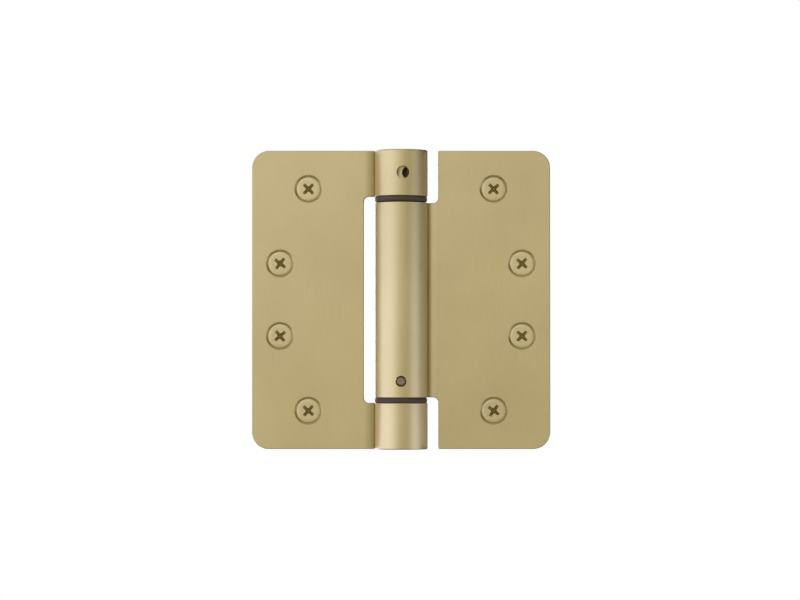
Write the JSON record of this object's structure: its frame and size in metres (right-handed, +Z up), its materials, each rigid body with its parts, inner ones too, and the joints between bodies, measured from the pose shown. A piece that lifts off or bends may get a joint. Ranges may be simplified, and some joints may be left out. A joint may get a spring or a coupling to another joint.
{
  "type": "spring hinge",
  "caption": "Flat-open spring hinge for a door, with rolled knuckles, an adjustable torsion spring inside the barrel, and flat-head screws in both leaves.",
  "frame": {"origin": "on the pin axis at mid height", "axes": "+Z up the pin axis, towards the adjusting end; -Y out of the front, where the screw heads show; the frame leaf is towards -X and the door leaf towards +X"},
  "size_m": [0.1142, 0.0435, 0.1142],
  "materials": {
    "plated_steel": "satin brass plating over rolled steel, fine brushed grain",
    "screw_steel": "satin brass plating over steel",
    "turned_steel": "turned steel, thin brass-toned plating",
    "pin_steel": "bright steel, lightly plated",
    "spring_steel": "oil-tempered spring wire",
    "bearing_nylon": "dark brown moulded nylon"
  },
  "bodies": {
    "frame_leaf_body": {"frame_leaf": "plated_steel", "upper_bearing": "bearing_nylon", "lower_bearing": "bearing_nylon", "bottom_cap": "turned_steel", "frame_leaf_screws": "screw_steel"},
    "door_leaf_body": {"door_leaf": "plated_steel", "anchor_plug": "turned_steel", "anchor_pin": "pin_steel", "torsion_spring": "spring_steel", "door_leaf_screws": "screw_steel"},
    "adjusting_plug_body": {"adjusting_plug": "turned_steel"}
  },
  "joints": [
    {"name": "leaf_swing", "type": "hinge", "parent": "frame_leaf_body", "child": "door_leaf_body", "pos_m": [0, 0, 0], "axis": [0, 0, -1], "range_deg": [0, 180]},
    {"name": "tension_adjust", "type": "hinge", "parent": "door_leaf_body", "child": "adjusting_plug_body", "pos_m": [0, 0, 0], "axis": [0, 0, -1], "range_deg": [0, 270], "stiffness_Nm_per_rad": 0.84, "deforming": ["torsion_spring"]}
  ]
}
